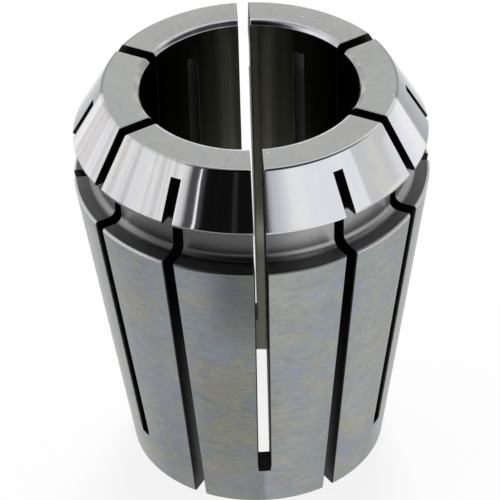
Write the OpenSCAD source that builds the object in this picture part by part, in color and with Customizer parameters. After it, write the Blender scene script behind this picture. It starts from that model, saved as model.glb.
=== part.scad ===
// A spring collet for a tool holder, turned, slotted and ground from one piece of steel.
// The axis is Z. The rear face lies on Z = 0 and the nose points up. A front slot faces -Y.

/* [Body] */
// Length from the rear face to the front face
overall_len = 40; // [34:0.5:60]
// Largest diameter, at the shoulder and at the foot of the nose cone
body_d = 33; // [31.5:0.1:38]
// Angle between the rear taper and the axis, in degrees
taper_angle = 8; // [4:0.5:9]

/* [Nose] */
// Length of the nose cone, along the axis
nose_len = 5.2; // [3:0.1:7]
// Angle between the nose cone and the axis, in degrees
nose_angle = 30; // [15:1:36]

/* [Extraction groove] */
// Width of the groove between the shoulder and the nose, along the axis
groove_w = 4; // [2:0.1:6]
// Diameter of the groove's floor
groove_d = 28.8; // [24:0.1:31]
// Radius of the fillets at the floor of the groove
groove_fillet = 0.7; // [0.1:0.05:1.2]

/* [Bore] */
// Diameter of the bore
bore_d = 20; // [6:0.5:21]
// Chamfer at the front end of the bore
front_chamfer = 0.35; // [0.05:0.05:0.6]
// Chamfer at the rear end of the bore
rear_chamfer = 0.5; // [0.05:0.05:1]

/* [Slots] */
// Number of slots from each end
slot_count = 6; // [3:1:8]
// Width of the slots cut from the front face
front_slot_w = 1.1; // [0.4:0.1:2]
// Width of the slots cut from the rear face
rear_slot_w = 1.0; // [0.4:0.1:2]
// Height of the web left between a front slot and the rear face
rear_web = 4.3; // [1:0.1:15]
// Height of the web left between a rear slot and the front face, at the outside
front_web = 1.3; // [0.8:0.1:4.5]
// Slope of the closed end of the rear slots, which is lower at the bore, in degrees
rear_slot_slope = 20; // [0:1:30]

/* [Edges] */
// Size of the break on the outer turned edges
edge_break = 0.15; // [0.05:0.05:0.3]

/* [Hidden] */
steel = "#a7a9aa";
turned = 120;
overcut = 1;
body_r = body_d / 2;
bore_r = bore_d / 2;
groove_r = groove_d / 2;
nose_z = overall_len - nose_len;
shoulder_z = nose_z - groove_w;
slot_pitch = 360 / slot_count;
first_slot = -90;
seam_angle = first_slot + slot_pitch / 8;

// Radius of the rear taper at height z
function taper_r(z) = body_r - (shoulder_z - z) * tan(taper_angle);

// Radius of the nose cone at height z
function nose_r(z) = body_r - (z - nose_z) * tan(nose_angle);

// Height of the closed end of a rear slot at radius r
function rear_slot_top(r) =
    let (web_z = overall_len - front_web)
    web_z - (nose_r(web_z) - r) * tan(rear_slot_slope);

// Outline of the turned blank from the bore to the outside, without the groove
module blank_outline() {
    polygon([
        [bore_r + rear_chamfer, 0],
        [taper_r(0) - edge_break, 0],
        [taper_r(edge_break), edge_break],
        [taper_r(shoulder_z - edge_break), shoulder_z - edge_break],
        [body_r - edge_break, shoulder_z],
        [body_r - edge_break, nose_z],
        [nose_r(nose_z + edge_break), nose_z + edge_break],
        [nose_r(overall_len - edge_break), overall_len - edge_break],
        [nose_r(overall_len) - edge_break, overall_len],
        [bore_r + front_chamfer, overall_len],
        [bore_r, overall_len - front_chamfer],
        [bore_r, rear_chamfer]
    ]);
}

// Section of the extraction groove, square at the mouth and filleted at the floor
module groove_outline() {
    fillet_r = groove_r + groove_fillet;
    translate([fillet_r, shoulder_z])
        square([body_r + overcut - fillet_r, groove_w]);
    translate([groove_r, shoulder_z + groove_fillet])
        square([2 * groove_fillet, groove_w - 2 * groove_fillet]);
    for (z = [shoulder_z + groove_fillet, nose_z - groove_fillet])
        translate([fillet_r, z])
            circle(r = groove_fillet, $fn = turned);
}

// The blank as it leaves the lathe. Its seam lies on a land, clear of every saw cut.
module blank() {
    rotate([0, 0, seam_angle])
        rotate_extrude($fn = turned)
            difference() {
                blank_outline();
                groove_outline();
            }
}

// Outline of a saw cut from the front face, from the axis out past the wall
module front_cut_outline() {
    translate([0, rear_web])
        square([body_r + overcut, overall_len + overcut - rear_web]);
}

// Outline of a saw cut from the rear face, with its sloping closed end
module rear_cut_outline() {
    polygon([
        [0, -overcut],
        [body_r + overcut, -overcut],
        [body_r + overcut, rear_slot_top(body_r + overcut)],
        [0, rear_slot_top(0)]
    ]);
}

// Radial saw cuts of the outline given, evenly spaced from the angle start
module saw_cuts(start, slot_w) {
    for (i = [0 : slot_count - 1])
        rotate([90, 0, start + i * slot_pitch])
            linear_extrude(height = slot_w, center = true)
                children();
}

module collet() {
    color(steel)
        difference() {
            blank();
            saw_cuts(first_slot, front_slot_w)
                front_cut_outline();
            saw_cuts(first_slot + slot_pitch / 2, rear_slot_w)
                rear_cut_outline();
        }
}

collet();
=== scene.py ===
import math

import bpy
from mathutils import Matrix, Vector


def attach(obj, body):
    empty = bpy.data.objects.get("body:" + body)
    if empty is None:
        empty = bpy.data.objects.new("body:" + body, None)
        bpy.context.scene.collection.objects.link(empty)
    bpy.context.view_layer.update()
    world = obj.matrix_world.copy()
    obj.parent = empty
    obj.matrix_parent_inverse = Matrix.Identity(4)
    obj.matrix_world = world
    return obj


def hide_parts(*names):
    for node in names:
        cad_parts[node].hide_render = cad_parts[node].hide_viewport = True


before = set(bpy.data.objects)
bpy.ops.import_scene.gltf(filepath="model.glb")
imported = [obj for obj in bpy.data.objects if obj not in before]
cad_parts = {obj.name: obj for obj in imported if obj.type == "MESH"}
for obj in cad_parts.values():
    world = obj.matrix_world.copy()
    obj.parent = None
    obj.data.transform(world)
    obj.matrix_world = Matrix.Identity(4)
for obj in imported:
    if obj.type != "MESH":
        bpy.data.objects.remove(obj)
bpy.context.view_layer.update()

mm = 0.001


# Blank
# The blank is turned from spring steel: a long rear taper, a groove for the lip of the nut, a
# short nose cone and a straight bore. Every turned edge is broken by a small round, and the
# floor of the groove runs into its sides with a fillet.
overall_len = 40 * mm
body_r = 16.5 * mm
taper_angle = math.radians(8)
nose_len = 5.2 * mm
nose_angle = math.radians(30)
groove_w = 4 * mm
groove_r = 14.4 * mm
groove_fillet = 0.7 * mm
bore_r = 10 * mm
front_chamfer = 0.35 * mm
rear_chamfer = 0.5 * mm

# Radius of the round on each turned edge.
edge_round = 0.17 * mm
shoulder_round = 0.22 * mm
foot_round = 0.26 * mm
face_round = 0.32 * mm
mouth_round = 0.55 * mm
chamfer_round = 0.12 * mm

nose_z = overall_len - nose_len
shoulder_z = nose_z - groove_w


def taper_r(z):
    """Radius of the rear taper at height z."""
    return body_r - (shoulder_z - z) * math.tan(taper_angle)


def nose_r(z):
    """Radius of the nose cone at height z."""
    return body_r - (z - nose_z) * math.tan(nose_angle)


# Corners of the section, from the rear face outwards, up the outside and down the bore:
# radius, height, radius of the round there, its steps, and the zone that follows.
CORNERS = [
    (bore_r + rear_chamfer, 0, chamfer_round, 3, "rear_face"),
    (taper_r(0), 0, edge_round, 5, "taper"),
    (body_r, shoulder_z, shoulder_round, 7, "ledge"),
    (groove_r, shoulder_z, groove_fillet, 8, "groove"),
    (groove_r, nose_z, groove_fillet, 8, "groove"),
    (body_r, nose_z, foot_round, 9, "nose"),
    (nose_r(overall_len), overall_len, face_round, 6, "front_face"),
    (bore_r + front_chamfer, overall_len, mouth_round, 5, "chamfer"),
    (bore_r, overall_len - front_chamfer, chamfer_round, 3, "bore"),
    (bore_r, rear_chamfer, chamfer_round, 3, "chamfer"),
]

# Rounded edges take the finish that the same tool or wheel gave, by the zones on both sides.
EDGE_FINISH = {
    ("chamfer", "rear_face"): "rear_face",
    ("rear_face", "taper"): "taper",
    ("taper", "ledge"): "shoulder",
    ("ledge", "groove"): "groove",
    ("groove", "groove"): "groove",
    ("groove", "nose"): "nose",
    ("nose", "front_face"): "nose",
    ("front_face", "chamfer"): "chamfer",
    ("chamfer", "bore"): "chamfer",
    ("bore", "chamfer"): "chamfer",
}

# Every zone with a finish of its own. The last two, left by the saw, are flat.
SAWN_ZONES = ["slot", "web"]
ZONES = [
    "rear_face",
    "taper",
    "ledge",
    "groove",
    "nose",
    "front_face",
    "chamfer",
    "bore",
    "shoulder",
] + SAWN_ZONES


# Saw cuts
# Twelve saw cuts divide the wall into springy leaves. Six come from the front face and stop
# at the rear web, and six from the rear face stop at the front web, with a sloping end.
slot_count = 6
front_slot_w = 1.1 * mm
rear_slot_w = 1.0 * mm
rear_web = 4.3 * mm
front_web = 1.3 * mm
rear_slot_slope = math.radians(20)
first_slot = math.radians(-90)
pitch = 2 * math.pi / slot_count
web_top_z = overall_len - front_web


def cut_top(radius):
    """Height of the closed end of a rear slot."""
    return web_top_z - (nose_r(web_top_z) - radius) * math.tan(rear_slot_slope)


# Rolled edge beside a cut: radius of the gentle roll in mm and its tilt in degrees, then the
# radius in mm of the tight round that ends on the wall. Grinding and use have rolled each
# zone differently.
ROLLED = {
    "rear_face": (0.30, 35, 0.08),
    "taper": (0.40, 15, 0.15),
    "ledge": (0.10, 30, 0.08),
    "groove": (0.06, 30, 0.05),
    "nose": (0.04, 30, 0.02),
    "front_face": (1.10, 14, 0.05),
    "chamfer": (0.09, 45, 0.09),
    "bore": (0.08, 45, 0.08),
}

# Faces across the gentle roll, the tight round and the plain wall between two cuts.
ROLL_STEPS = 3
TIGHT_STEPS = 4
MIDDLE_STEPS = 13

# The rolled edge fades to its least radius over this height before the closed end of a cut,
# and a narrow guard strip keeps the plain wall beside it smooth.
cut_fade = 0.8 * mm
least_round = 0.012 * mm
guard = 0.09 * mm

# Extra rows on the long walls, close together beside the closed ends of the cuts.
ends = [0, 0.06 * mm, 0.15 * mm, 0.3 * mm, 0.5 * mm, 0.8 * mm]
above_floor = [rear_web + step for step in ends]
below_top = [cut_top(bore_r) - step for step in ends]
below_web = [web_top_z - step for step in ends]
even = [z * mm for z in range(7, 29, 3)]
WALL_LEVELS = {
    "taper": above_floor + even,
    "nose": [z * mm for z in (35.6, 36.3, 37, 37.5)] + below_web[::-1],
    "bore": below_top + [34 * mm, 31 * mm] + even[::-1] + above_floor[::-1],
}


def section_rows():
    """Rows round the section: point, outward normal, zone up to the next row, zone of its roll."""
    rows = []
    spots = [Vector((r, z)) for r, z, *_ in CORNERS]
    zones = [corner[4] for corner in CORNERS]
    for i, (_, _, radius, steps, zone) in enumerate(CORNERS):
        here, after = spots[i], spots[(i + 1) % len(spots)]
        came = (here - spots[i - 1]).normalized()
        goes = (after - here).normalized()
        turn = -came.angle_signed(goes)
        start = here - came * radius * math.tan(abs(turn) / 2)
        inside = Vector((-came.y, came.x)) * math.copysign(radius, turn)
        for k in range(steps + 1):
            swing = Matrix.Rotation(turn * k / steps, 2)
            point = start + inside - swing @ inside
            normal = swing @ Vector((came.y, -came.x))
            strip = zone if k == steps else EDGE_FINISH[zones[i - 1], zone]
            rolled = zones[i - 1] if k * 2 < steps else zone
            rows.append((point, normal, strip, rolled))
        if zone in WALL_LEVELS:
            normal = rows[-1][1]
            for z in WALL_LEVELS[zone]:
                rows.append((here + goes * (z - here.y) / goes.y, normal, zone, zone))
    return rows


rows = section_rows()
row_count = len(rows)

# Heights closer than this are the same.
same_height = 0.0001 * mm


def near(a, b):
    return abs(a - b) < same_height


def beside_cut(row, side):
    """Points from the guard strip in to the wall of the cut: radius, height, distance from
    the middle plane of the cut."""
    point, normal, _, zone = row
    gentle, tilt, tight = ROLLED[zone]
    slot_w = rear_slot_w if side == "rear_slot" else front_slot_w
    left = point.y - rear_web if side != "rear_slot" else cut_top(point.x) - point.y
    fade = min(1, max(0, left) / cut_fade)
    gentle, tight = (least_round + (v * mm - least_round) * fade for v in (gentle, tight))
    tilt = math.radians(tilt)
    steps = [(0, 0)]
    for k in range(1, ROLL_STEPS + 1):
        angle = tilt * k / ROLL_STEPS
        steps.append((gentle * math.sin(angle), gentle * (1 - math.cos(angle))))
    across, down = steps[-1]
    for k in range(1, TIGHT_STEPS + 1):
        angle = tilt + (math.pi / 2 - tilt) * k / TIGHT_STEPS
        over = across + tight * (math.sin(angle) - math.sin(tilt))
        drop = down + tight * (math.cos(tilt) - math.cos(angle))
        steps.append((over, drop))
    reach = steps[-1][0]
    points = [(point.x, point.y, slot_w / 2 + reach + guard)]
    for across, down in steps:
        r, z = point.x - normal.x * down, point.y - normal.y * down
        off = slot_w / 2 + reach - across
        if side != "rear_slot" and near(point.y, rear_web):
            z = rear_web
        if side == "rear_slot" and near(point.y, cut_top(point.x)):
            z = cut_top(math.sqrt(r * r - off * off))
        points.append((r, z, off))
    return points


def half_leaf(verts, faces, zones):
    """The half leaf from the middle of a front slot to the middle of the next rear slot."""

    def put(radius, z, angle):
        verts.append((radius * math.cos(angle), radius * math.sin(angle), z))
        return len(verts) - 1

    def face(loop, zone):
        faces.append(loop)
        zones.append(ZONES.index(zone))

    def swing(radius, offset):
        return math.asin(offset / radius)

    front_open = [row[0].y >= rear_web - same_height for row in rows]
    rear_open = [row[0].y <= cut_top(row[0].x) + same_height for row in rows]
    front, rear, lines, front_mid, rear_mid = [], [], [], [], []
    for row, in_front, in_rear in zip(rows, front_open, rear_open):
        point = row[0]
        at_front = beside_cut(row, "front_slot")
        at_rear = beside_cut(row, "rear_slot")
        start = swing(point.x, at_front[0][2])
        stop = pitch / 2 - swing(point.x, at_rear[0][2])
        at_front = at_front if in_front else at_front[:1]
        at_rear = at_rear if in_rear else at_rear[:1]
        front.append([put(r, z, swing(r, off)) for r, z, off in at_front])
        rear.append([put(r, z, pitch / 2 - swing(r, off)) for r, z, off in at_rear])
        middle = [
            put(point.x, point.y, start + (stop - start) * j / MIDDLE_STEPS)
            for j in range(1, MIDDLE_STEPS)
        ]
        lines.append([front[-1][0]] + middle + [rear[-1][0]])
        front_mid.append(put(point.x, point.y, 0))
        rear_mid.append(put(point.x, point.y, pitch / 2))

    for i in range(row_count):
        j = (i + 1) % row_count
        zone = rows[i][2]
        for k in range(MIDDLE_STEPS):
            face([lines[i][k], lines[i][k + 1], lines[j][k + 1], lines[j][k]], zone)
        floor_strip = near(rows[i][0].y, rear_web) and near(rows[j][0].y, rear_web)
        if front_open[i] and front_open[j] and not floor_strip:
            for k in range(len(front[i]) - 1):
                # The tight round beside a cut, here and at the rear cuts, takes the near-black
                # sawn wall colour as painted shade on the edge.
                finish = "slot" if k > ROLL_STEPS else zone
                face([front[i][k + 1], front[i][k], front[j][k], front[j][k + 1]], finish)
        else:
            face([front_mid[i], front[i][0], front[j][0], front_mid[j]], zone)
        if rear_open[i] and rear_open[j]:
            for k in range(len(rear[i]) - 1):
                finish = "slot" if k > ROLL_STEPS else zone
                face([rear[i][k], rear[i][k + 1], rear[j][k + 1], rear[j][k]], finish)
        else:
            face([rear[i][0], rear_mid[i], rear_mid[j], rear[j][0]], zone)

    # The flat wall and the closed end of each cut.
    cut = [i for i in range(row_count) if front_open[i]]
    face([front[i][-1] for i in cut], "slot")
    face([front_mid[cut[0]]] + front[cut[0]] + front[cut[-1]][::-1] + [front_mid[cut[-1]]], "web")
    first = next(i for i in range(row_count) if rear_open[i] and not rear_open[i - 1])
    cut = [i % row_count for i in range(first, first + row_count) if rear_open[i % row_count]]
    face([rear[i][-1] for i in cut][::-1], "slot")
    face([rear_mid[cut[0]]] + rear[cut[0]] + rear[cut[-1]][::-1] + [rear_mid[cut[-1]]], "web")


def leaf_mesh():
    """One leaf, from the middle of one front slot to the middle of the next."""
    verts, faces, zones = [], [], []
    half_leaf(verts, faces, zones)
    count = len(verts)
    for x, y, z in verts[:]:
        angle = pitch - math.atan2(y, x)
        radius = math.hypot(x, y)
        verts.append((radius * math.cos(angle), radius * math.sin(angle), z))
    faces += [[v + count for v in reversed(loop)] for loop in faces]
    zones += zones
    mesh = bpy.data.meshes.new("leaf")
    mesh.from_pydata(verts, [], faces)
    mesh.attributes.new("zone", "INT", "FACE").data.foreach_set("value", zones)
    smooth = [ZONES[zone] not in SAWN_ZONES for zone in zones]
    mesh.polygons.foreach_set("use_smooth", smooth)
    return mesh


leaf = leaf_mesh()


# Steel
# The collet is one piece of hardened spring steel. Each zone keeps the finish of the last
# wheel, tool or saw that touched it, so every zone has its own material, and several also hold
# painted light and shade.
class Wire:
    """One output of a node. Arithmetic on it adds Math nodes to the same tree."""

    def __init__(self, board, socket):
        self.board, self.socket = board, socket

    def __add__(self, other):
        return self.board.math("ADD", self, other)

    __radd__ = __add__

    def __sub__(self, other):
        return self.board.math("SUBTRACT", self, other)

    def __rsub__(self, other):
        return self.board.math("SUBTRACT", other, self)

    def __mul__(self, other):
        return self.board.math("MULTIPLY", self, other)

    __rmul__ = __mul__

    def __truediv__(self, other):
        return self.board.math("DIVIDE", self, other)

    def rise(self, low, high):
        """0 below low, 1 above high, and smooth between."""
        return self.board.node(
            "ShaderNodeMapRange",
            {"interpolation_type": "SMOOTHSTEP"},
            {"Value": self, "From Min": low, "From Max": high},
        )

    def fall(self, low, high):
        """1 below low, 0 above high, and smooth between."""
        return 1 - self.rise(low, high)

    def inside(self, low, high, soft):
        """1 between low and high, 0 outside, with soft ends."""
        up = self.rise(low - soft / 2, low + soft / 2)
        return up * self.fall(high - soft / 2, high + soft / 2)


class Board:
    """A node tree, with one method that adds a node: its type, its settings, its inputs."""

    def __init__(self, tree):
        self.tree = tree

    def node(self, kind, settings=None, inputs=None, out=0):
        node = self.tree.nodes.new(kind)
        for name, value in (settings or {}).items():
            setattr(node, name, value)
        for name, value in (inputs or {}).items():
            if isinstance(value, Wire):
                self.tree.links.new(value.socket, node.inputs[name])
            else:
                node.inputs[name].default_value = value
        return Wire(self, node.outputs[out]) if len(node.outputs) else node

    def math(self, operation, *values):
        return self.node("ShaderNodeMath", {"operation": operation}, dict(enumerate(values)))

    def parts(self, vector):
        split = self.node("ShaderNodeSeparateXYZ", {}, {0: vector}).socket.node
        return [Wire(self, split.outputs[k]) for k in range(3)]

    def join(self, x, y, z):
        return self.node("ShaderNodeCombineXYZ", {}, {0: x, 1: y, 2: z})

    def mix(self, factor, low, high, blend="MIX"):
        """Mix of two colours, low where the factor is 0 and high where it is 1."""
        ends = [c if isinstance(c, Wire) else (*c, 1) for c in (low, high)]
        return self.node(
            "ShaderNodeMix",
            {"data_type": "RGBA", "blend_type": blend},
            {0: factor, 6: ends[0], 7: ends[1]},
            out=2,
        )

    def toned(self, color, tone):
        """The colour times the tone, where a tone of 1 keeps it as it is."""
        return self.mix(1.0, color, self.join(tone, tone, tone), "MULTIPLY")

    def noise(self, vector, scale=1.0, detail=2, roughness=0.5, distortion=0.0):
        """Noise from 0 to 1."""
        return self.node(
            "ShaderNodeTexNoise",
            {},
            {
                "Vector": vector,
                "Scale": scale,
                "Detail": detail,
                "Roughness": roughness,
                "Distortion": distortion,
            },
        )


class Finish(Board):
    """A steel material in the making, with coordinates round the axis ready for use."""

    def __init__(self, name):
        self.material = bpy.data.materials.new(name)
        self.material.use_nodes = True
        self.material.node_tree.nodes.clear()
        super().__init__(self.material.node_tree)
        self.place = self.node("ShaderNodeTexCoord", out="Object")
        self.x, self.y, self.z = self.parts(self.place)
        self.radius = self.math("SQRT", self.x * self.x + self.y * self.y)
        self.east = self.x / self.radius
        self.north = self.y / self.radius

    def facing(self, degrees):
        """Cosine of the angle round the axis from a side, counted from -Y towards +X."""
        side = math.radians(degrees)
        return self.east * math.sin(side) - self.north * math.cos(side)

    def shifted(self, x=0.0, y=0.0, z=0.0):
        """Coordinates moved aside, so that two patterns don't fall together."""
        return self.join(self.x + x, self.y + y, self.z + z)

    def scaled(self, x, y, z):
        """Coordinates for marks per metre in each direction."""
        return self.join(self.x * x, self.y * y, self.z * z)

    def along(self, fine, stretch, seed=0.0):
        """Coordinates for streaks along the axis: fine round the part, slow along it."""
        return self.join(self.east * fine, self.north * fine, self.z * stretch + seed)

    def rings(self, fine, wander=1.0):
        """Coordinates for marks that run round the axis, by height and radius."""
        return self.join(self.east * wander, self.north * wander, (self.z + self.radius) * fine)

    def metal(self, color, roughness, bumps=()):
        """The shader: colour and roughness, with bumps as (height, strength, distance)."""
        inputs = {"Base Color": color, "Roughness": roughness, "Metallic": 1.0}
        for height, strength, distance in bumps:
            bump = {"Height": height, "Strength": strength, "Distance": distance}
            if "Normal" in inputs:
                bump["Normal"] = inputs["Normal"]
            inputs["Normal"] = self.node("ShaderNodeBump", {}, bump)
        shader = self.node("ShaderNodeBsdfPrincipled", {}, inputs)
        self.node("ShaderNodeOutputMaterial", {}, {"Surface": shader})
        return self.material


def taper_steel():
    """Ground taper: mottled with faint heat and oil tints, covered in fine wavy scratches, with
    painted light and shade round the axis.
    """
    grey, pale_grey = (0.312, 0.336, 0.318), (0.352, 0.374, 0.356)
    blue_tint, ochre_tint = (0.283, 0.318, 0.392), (0.382, 0.366, 0.284)
    plum_tint = (0.330, 0.300, 0.375)
    scratch, gloss, hairline = (0.205, 0.215, 0.215), (0.46, 0.475, 0.47), (0.17, 0.175, 0.18)
    lower_end, upper_start = 15 * mm, 21 * mm

    f = Finish("ground_taper")
    stroke = f.noise(f.scaled(420, 420, 1100), detail=5, roughness=0.68, distortion=1.6)
    fine = f.noise(f.scaled(1800, 1800, 5200), detail=3, roughness=0.7, distortion=0.8)
    patch = f.noise(f.place, scale=150, detail=4, roughness=0.65, distortion=0.8)

    # Blue gathers in the upper half of the front and ochre in the lower.
    upper = f.facing(-24).rise(0.93, 0.98) * f.z.rise(lower_end, upper_start)
    lower = f.facing(-10).rise(0.95, 0.99) * f.z.fall(lower_end, upper_start)
    lower = lower * f.z.rise(4 * mm, 9 * mm)
    blue = f.noise(f.shifted(x=0.01), scale=130, detail=6, roughness=0.75, distortion=1.0)
    blue = (blue + 0.11 * upper).rise(0.44, 0.62)
    ochre = f.noise(f.shifted(y=0.07), scale=170, detail=6, roughness=0.75, distortion=1.2)
    ochre = (ochre + 0.07 * lower).rise(0.46, 0.64)
    plum = f.noise(f.shifted(y=-0.04), scale=300, detail=4, roughness=0.7, distortion=1.0)
    broken = 0.5 + 0.45 * stroke.rise(0.35, 0.65)
    color = f.mix(patch.rise(0.3, 0.7), grey, pale_grey)
    color = f.mix(blue * broken, color, blue_tint)
    color = f.mix(ochre * broken, color, ochre_tint)
    color = f.mix(plum.rise(0.54, 0.64) * 0.5, color, plum_tint)
    color = f.mix(stroke.fall(0.25, 0.6) * 0.5, color, scratch)
    color = f.mix(stroke.rise(0.56, 0.72) * 0.35, color, gloss)
    color = f.mix(fine.fall(0.22, 0.5) * 0.30, color, hairline)

    # Painted light and shade: the leaf right of the front slot is paler, the top of the one left
    # of it darker.
    tone = 0.76 + 0.06 * f.facing(-8).rise(0.80, 0.95)
    tone = tone + 0.26 * f.east.rise(-0.02, 0.02) * f.facing(12).rise(0.72, 0.88)
    ragged = 8 * mm * (patch - 0.5)
    painted_shade = f.east.rise(-0.40, -0.14) * f.east.fall(-0.02, 0.05) * f.north.fall(-0.3, 0.0)
    tone = tone * (1 - 0.5 * painted_shade * (f.z + ragged).rise(17 * mm, 29 * mm))
    tone = tone * (1 - 0.13 * lower)
    rough = 0.24 + 0.10 * patch + 0.08 * (stroke - 0.5)
    bumps = [(fine, 0.10, 0.04 * mm), (stroke, 0.12, 0.08 * mm)]
    return f.metal(f.toned(color, tone), rough, bumps)


def nose_steel():
    """Polished nose cone: mirror bright, with polishing streaks down the cone, and painted
    reflection and shade.
    """
    cool, warm = (0.76, 0.765, 0.81), (0.83, 0.825, 0.80)
    dull_streak, cream_hair = (0.60, 0.585, 0.60), (0.82, 0.75, 0.70)
    cream_blotch, lilac_blotch = (0.86, 0.84, 0.79), (0.74, 0.73, 0.84)
    painted_side_grey, painted_foot_shade = (0.29, 0.305, 0.33), (0.09, 0.09, 0.095)

    f = Finish("polished_nose")
    broad = f.noise(f.along(5, 6), detail=3, roughness=0.6)
    streak = f.noise(f.along(16, 10, seed=3), detail=4, roughness=0.65)
    hair = f.noise(f.along(55, 25, seed=7), detail=3, roughness=0.6)
    blotch = f.noise(f.shifted(z=0.02), scale=330, detail=3, roughness=0.6, distortion=0.6)
    # Painted reflection: the dull streaks and cream hairs are strongest on the left of the cone.
    painted_reflection_left = f.facing(-65).rise(0.35, 0.85)
    color = f.mix(broad.rise(0.35, 0.65), cool, warm)
    color = f.mix(streak.rise(0.43, 0.60) * painted_reflection_left, color, dull_streak)
    color = f.mix(hair.rise(0.55, 0.72) * (0.1 + 0.4 * painted_reflection_left), color, cream_hair)
    color = f.mix(blotch.rise(0.56, 0.72) * 0.5, color, cream_blotch)
    color = f.mix(blotch.fall(0.28, 0.42) * 0.5, color, lilac_blotch)

    # Painted reflection: the two far sides are painted grey.
    painted_grey_sides = f.facing(-6).rise(-0.85, -0.60) * f.facing(-6).fall(0.13, 0.17)
    color = f.mix(painted_grey_sides * (0.85 + 0.15 * broad), color, painted_side_grey)
    # Painted shade under the foot, strongest towards the front left and least just right of the
    # front.
    dull = 0.6 + 0.35 * f.facing(-30).rise(0.6, 0.86) - 0.6 * f.facing(17).rise(0.93, 0.98)
    color = f.mix(f.z.fall(35.1 * mm, 35.2 * mm) * dull, color, painted_foot_shade)
    rough = 0.03 + 0.03 * streak + 0.02 * hair
    return f.metal(color, rough, [(broad, 0.03, 0.3 * mm), (streak, 0.01, 0.1 * mm)])


def end_face_steel(name):
    """Ground end face: even satin grey with specks of dust, nicks and faint tints."""
    grey, pale_grey = (0.475, 0.485, 0.475), (0.515, 0.525, 0.512)
    warm_tint, cool_tint = (0.54, 0.49, 0.45), (0.45, 0.47, 0.53)
    dull, bright_mark = (0.36, 0.365, 0.365), (0.88, 0.88, 0.87)

    f = Finish(name)
    patch = f.noise(f.place, scale=160, detail=4, roughness=0.6)
    tint = f.noise(f.shifted(x=0.03), scale=260, detail=3, roughness=0.6)
    grain = f.noise(f.rings(14000, wander=2), roughness=0.6)
    worn = f.noise(f.place, scale=1400, detail=3, roughness=0.7)
    color = f.mix(patch.rise(0.3, 0.7), grey, pale_grey)
    color = f.mix(tint.rise(0.56, 0.7) * 0.35, color, warm_tint)
    color = f.mix(tint.fall(0.3, 0.44) * 0.35, color, cool_tint)
    color = f.mix(worn.fall(0.25, 0.55) * 0.30, color, dull)

    # Dust, short nicks and hair scratches lie together in some places and not in others.
    bare = f.noise(f.place, scale=260, detail=3, roughness=0.6).rise(0.52, 0.64)
    dust = f.node("ShaderNodeTexVoronoi", {}, {"Vector": f.place, "Scale": 900})
    nick = f.noise(f.scaled(700, 3200, 1), distortion=0.6).rise(0.66, 0.72)
    slanted = f.join((f.x + f.y) * 2600, (f.x - f.y) * 500, f.z)
    hair = f.noise(slanted, distortion=0.4).rise(0.67, 0.73)
    mark = dust.fall(0.08, 0.16) * bare + (nick + hair) * bare * 0.8
    color = f.mix(f.math("MINIMUM", mark, 1) * 0.7, color, bright_mark)
    rough = 0.22 + 0.08 * patch + 0.1 * mark
    return f.metal(color, rough, [(grain, 0.05, 0.03 * mm), (patch, 0.05, 0.2 * mm)])


def groove_steel(name, low, high, front_painted_shade, left_painted_shade, rough):
    """Turned groove: fine tool marks round the axis, and painted shade at the front and at the
    left.
    """
    dark, dull = (0.035, 0.036, 0.034), (0.06, 0.062, 0.062)

    f = Finish(name)
    patch = f.noise(f.place, scale=180, detail=4, roughness=0.6)
    ring = f.noise(f.rings(9000, wander=1.5), roughness=0.6)
    color = f.mix(patch.rise(0.3, 0.7), low, high)
    # Painted shade: darker towards the front and towards the left, standing in for the shaded
    # floor that the steel reflects.
    front = (f.facing(-19) + 0.05 * (patch - 0.5)).rise(0.80, 0.97)
    color = f.mix(front * front_painted_shade, color, dark)
    color = f.mix(f.facing(-75).rise(0.45, 0.9) * left_painted_shade, color, dull)
    return f.metal(color, rough + 0.12 * patch, [(ring, 0.12, 0.03 * mm)])


def chamfer_steel():
    """Bore chamfers: bright steel, with painted reflection that makes them lilac and brighter at
    the front and back and duller at the two sides.
    """
    dull, pale = (0.36, 0.36, 0.37), (0.62, 0.62, 0.63)
    lilac, bright = (0.66, 0.65, 0.71), (0.90, 0.89, 0.95)

    f = Finish("chamfer_painted_reflection")
    patch = f.noise(f.place, scale=400, detail=3, roughness=0.6)
    painted_dull_sides = f.mix(patch.rise(0.3, 0.7), dull, pale)
    painted_bright_front_back = f.mix(patch.rise(0.3, 0.7), lilac, bright)
    # Painted reflection: brighter at the front and back, duller at the sides.
    color = f.mix((f.north * f.north).rise(0.15, 0.55), painted_dull_sides, painted_bright_front_back)
    return f.metal(color, 0.12 + 0.1 * patch)


def shoulder_steel():
    """Edge of the shoulder: a painted highlight round the back and sides, and painted shade at the
    front.
    """
    dull, bright = (0.14, 0.145, 0.14), (0.66, 0.67, 0.68)

    f = Finish("shoulder_painted_highlight")
    patch = f.noise(f.place, scale=500, detail=3, roughness=0.6)
    # Painted highlight away from the front, painted shade at the front.
    worn = f.facing(-2).fall(0.78, 0.95)
    color = f.mix(worn * (0.7 + 0.3 * patch), dull, bright)
    return f.metal(color, 0.22 + 0.1 * patch)


def bore_steel():
    """Honed bore: olive and streaked along the axis, with painted shade that leaves it palest half
    way up at the back.
    """
    olive, pale_olive = (0.28, 0.285, 0.21), (0.42, 0.42, 0.345)
    dark_streak = (0.20, 0.20, 0.18)

    f = Finish("honed_bore")
    broad = f.noise(f.along(6, 8), detail=3, roughness=0.6)
    streak = f.noise(f.along(24, 12, seed=5), detail=4, roughness=0.65)
    color = f.mix(broad.rise(0.35, 0.65), olive, pale_olive)
    color = f.mix(streak.rise(0.5, 0.75) * 0.5, color, dark_streak)
    # Painted shade: darker low in the bore, a little darker near the top, and darker round the
    # sides and the front.
    tone = 0.30 + 0.70 * f.z.rise(12.5 * mm, 16.5 * mm) - 0.25 * f.z.rise(24 * mm, 30 * mm)
    tone = tone * (0.40 + 0.60 * f.north.rise(0.55, 0.86))
    return f.metal(f.toned(color, tone), 0.14 + 0.16 * streak, [(streak, 0.1, 0.1 * mm)])


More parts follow.
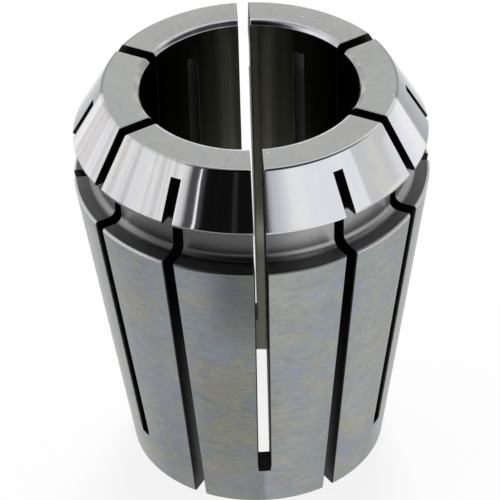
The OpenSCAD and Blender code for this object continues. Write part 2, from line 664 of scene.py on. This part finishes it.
def slot_steel(name, low, high):
    """Sawn slot: painted near-black as shade in the narrow cut, darkest near the bore, with the
    arcs that the saw leaves.
    """
    f = Finish(name)
    arc = f.noise(f.scaled(300, 300, 4500), detail=3, roughness=0.6)
    color = f.mix(arc * f.radius.rise(bore_r, 13.5 * mm), low, high)
    return f.metal(color, 0.38 + 0.1 * arc, [(arc, 0.2, 0.03 * mm)])


finishes = {
    "rear_face": end_face_steel("ground_rear_face"),
    "taper": taper_steel(),
    "ledge": groove_steel(
        "turned_ledge",
        low=(0.19, 0.19, 0.196),
        high=(0.23, 0.23, 0.236),
        front_painted_shade=0.45,
        left_painted_shade=0.0,
        rough=0.5,
    ),
    "groove": groove_steel(
        "turned_groove",
        low=(0.38, 0.38, 0.385),
        high=(0.47, 0.468, 0.47),
        front_painted_shade=0.8,
        left_painted_shade=0.3,
        rough=0.28,
    ),
    "nose": nose_steel(),
    "front_face": end_face_steel("ground_front_face"),
    "chamfer": chamfer_steel(),
    "bore": bore_steel(),
    "shoulder": shoulder_steel(),
    # The sawn walls and floors are painted near-black: painted shade inside the cuts.
    "slot": slot_steel("sawn_wall", low=(0.008, 0.008, 0.008), high=(0.05, 0.05, 0.051)),
    "web": slot_steel("sawn_floor", low=(0.06, 0.06, 0.058), high=(0.10, 0.10, 0.098)),
}


# Leaves round the axis
# The six leaves stay joined by the webs, so the collet is one piece. The tree copies the leaf
# round the axis, joins the copies at their middle planes and gives each zone its finish.
join_distance = 0.002 * mm
sharp_edge = math.radians(50)

tree = bpy.data.node_groups.new("leaves_round_axis", "GeometryNodeTree")
for name, kind in (
    ("Leaf", "NodeSocketGeometry"),
    ("Leaf count", "NodeSocketInt"),
    ("First slot angle", "NodeSocketFloat"),
    ("Join distance", "NodeSocketFloat"),
):
    tree.interface.new_socket(name, in_out="INPUT", socket_type=kind)
tree.interface.new_socket("Collet", in_out="OUTPUT", socket_type="NodeSocketGeometry")
ring = Board(tree)
given = tree.nodes.new("NodeGroupInput")
leaf_in, count_in, angle_in, join_in = (Wire(ring, given.outputs[k]) for k in range(4))
line = ring.node("GeometryNodeMeshLine", {}, {"Count": count_in, "Offset": (0, 0, 0)})
index = ring.node("GeometryNodeInputIndex")
spin = ring.join(0, 0, index * (2 * math.pi) / count_in + angle_in)
copies = ring.node(
    "GeometryNodeInstanceOnPoints", {}, {"Points": line, "Instance": leaf_in, "Rotation": spin}
)
solid = ring.node("GeometryNodeRealizeInstances", {}, {"Geometry": copies})
solid = ring.node("GeometryNodeMergeByDistance", {}, {"Geometry": solid, "Distance": join_in})
zone_of = ring.node("GeometryNodeInputNamedAttribute", {"data_type": "INT"}, {"Name": "zone"})
same_zone = {"data_type": "INT", "operation": "EQUAL"}
for number, zone in enumerate(ZONES):
    here = ring.node("FunctionNodeCompare", same_zone, {2: zone_of, 3: number})
    solid = ring.node(
        "GeometryNodeSetMaterial",
        {},
        {"Geometry": solid, "Selection": here, "Material": finishes[zone]},
    )
result = tree.nodes.new("NodeGroupOutput")
tree.links.new(solid.socket, result.inputs[0])

leaf_object = bpy.data.objects.new("collet_leaf", leaf)
bpy.context.scene.collection.objects.link(leaf_object)
repeat = leaf_object.modifiers.new("leaves", "NODES")
repeat.node_group = tree
sockets = {s.name: s.identifier for s in tree.interface.items_tree if s.in_out == "INPUT"}
repeat[sockets["Leaf count"]] = slot_count
repeat[sockets["First slot angle"]] = first_slot
repeat[sockets["Join distance"]] = join_distance
bpy.context.view_layer.update()
graph = bpy.context.evaluated_depsgraph_get()
whole = bpy.data.meshes.new_from_object(leaf_object.evaluated_get(graph))
whole.name = "collet_shape"
leaf_object.modifiers.remove(repeat)
bpy.data.objects.remove(leaf_object)
whole.attributes.remove(whole.attributes["zone"])
whole.set_sharp_from_angle(angle=sharp_edge)
collet = bpy.data.objects.new("spring_collet", whole)
bpy.context.scene.collection.objects.link(collet)
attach(collet, "root")
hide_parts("collet")


# Table
# A plain pale table top, large enough to fill the view from every side. The camera and the
# polished steel see it nearly white, and the small rest of its paint keeps the soft shadow.
table_reach = 4.0
table_z = -0.01 * mm
table_color = (0.90, 0.90, 0.90, 1)
table_white = 0.86

table_mesh = bpy.data.meshes.new("table_top")
table_mesh.from_pydata(
    [(x * table_reach, y * table_reach, table_z) for x, y in ((-1, -1), (1, -1), (1, 1), (-1, 1))],
    [],
    [(0, 1, 2, 3)],
)
table = bpy.data.objects.new("table", table_mesh)
bpy.context.scene.collection.objects.link(table)
pale = bpy.data.materials.new("table_paint")
pale.use_nodes = True
pale.node_tree.nodes.clear()
paint = Board(pale.node_tree)
lit = paint.node("ShaderNodeBsdfDiffuse", {}, {"Color": table_color})
white = paint.node("ShaderNodeEmission", {}, {"Color": (1, 1, 1, 1), "Strength": 1.0})
path = paint.node("ShaderNodeLightPath").socket.node
rays = ("Is Camera Ray", "Is Glossy Ray", "Is Transmission Ray")
camera_ray, glossy_ray, transmission_ray = (Wire(paint, path.outputs[ray]) for ray in rays)
seen = paint.math("MINIMUM", camera_ray + glossy_ray + transmission_ray, 1)
shade = paint.node("ShaderNodeMixShader", {}, {0: seen * table_white, 1: lit, 2: white})
paint.node("ShaderNodeOutputMaterial", {}, {"Surface": shade})
table_mesh.materials.append(pale)


# Studio
# Pale walls stand to the left, to the right and behind, with a dark opening where the camera
# stands and a bright gap at its left. The polished nose mirrors them, so their places matter.
# Azimuth is in degrees from the camera's side towards +X, and height in degrees.
cool_light, warm_light = (0.955, 0.965, 1.0), (1, 1, 0.985)

world = bpy.data.worlds.new("studio")
bpy.context.scene.world = world
world.use_nodes = True
world.node_tree.nodes.clear()
walls = Board(world.node_tree)
dx, dy, dz = walls.parts(walls.node("ShaderNodeTexCoord", out="Generated"))
azimuth = walls.math("ARCTAN2", dx, dy * -1) * (180 / math.pi)
height = walls.math("ARCSINE", dz) * (180 / math.pi)

left_wall = 0.88 * azimuth.fall(-49, -43.2)
dusk = 0.09 * azimuth.inside(-47, -39.2, 1.2) + 0.07 * azimuth.inside(-39.2, -35, 4)
gap_light = 1.2 * azimuth.inside(-39.2, -37.8, 0.7)
faint_light = 0.006 + 0.022 * azimuth.inside(-15, -12, 1.5)
right_wall = 0.6 * azimuth.rise(5.5, 11.5) + 0.34 * azimuth.rise(9, 27)
right_wall = right_wall - 0.25 * azimuth.rise(71, 73)
side = left_wall + dusk + gap_light + faint_light + right_wall
behind = walls.math("ABSOLUTE", azimuth).rise(115, 150)
side = side * (1 - behind) + 0.82 * behind
low = height.fall(2, 6)
side = side * (1 - low) + 0.9 * low
high_front = azimuth.inside(-60, 105, 14) * height.rise(29, 36)
overhead = height.rise(42, 85)
light = side * (1 - 0.92 * high_front) * (1 - 0.8 * overhead)
tint = walls.mix(azimuth.inside(-48, 70, 6), warm_light, cool_light)
shine = walls.node("ShaderNodeBackground", {}, {"Color": tint, "Strength": light})
walls.node("ShaderNodeOutputWorld", {}, {"Surface": shine})


def soft_box(name, place, aim, size, power):
    """A square area lamp that mirrors don't show."""
    data = bpy.data.lights.new(name, "AREA")
    data.shape = "SQUARE"
    data.size = size
    data.energy = power
    lamp = bpy.data.objects.new(name, data)
    lamp.location = place
    lamp.rotation_euler = (Vector(aim) - Vector(place)).to_track_quat("-Z", "Y").to_euler()
    lamp.visible_glossy = False
    bpy.context.scene.collection.objects.link(lamp)


soft_box("key_box", place=(0.094, 0.595, 0.669), aim=(0, 0, 0), size=0.3, power=7.0)


# Camera
# A long lens from the front, well above the part, a little to the left of the front slot and
# turned a little on its own axis. It aims at the middle of the part.
elevation = math.radians(37.66)
azimuth_off = math.radians(2.05)
roll = math.radians(-1.55)
distance = 295.3 * mm
target = Vector((0, 0, overall_len / 2))

back = Vector(
    (
        -math.sin(azimuth_off) * math.cos(elevation),
        -math.cos(azimuth_off) * math.cos(elevation),
        math.sin(elevation),
    )
)
right = Vector((0, 0, 1)).cross(back).normalized()
up = back.cross(right)
frame_right = math.cos(roll) * right + math.sin(roll) * up
frame_up = math.cos(roll) * up - math.sin(roll) * right
camera_data = bpy.data.cameras.new("camera")
camera_data.sensor_width = 36
camera_data.lens = 224.64
camera_data.shift_x = -0.0084
camera_data.shift_y = 0.0143
camera = bpy.data.objects.new("camera", camera_data)
turned = Matrix((frame_right, frame_up, back)).transposed().to_4x4()
camera.matrix_world = Matrix.Translation(target + back * distance) @ turned
bpy.context.scene.collection.objects.link(camera)
bpy.context.scene.camera = camera
bpy.context.scene.view_settings.view_transform = "Standard"
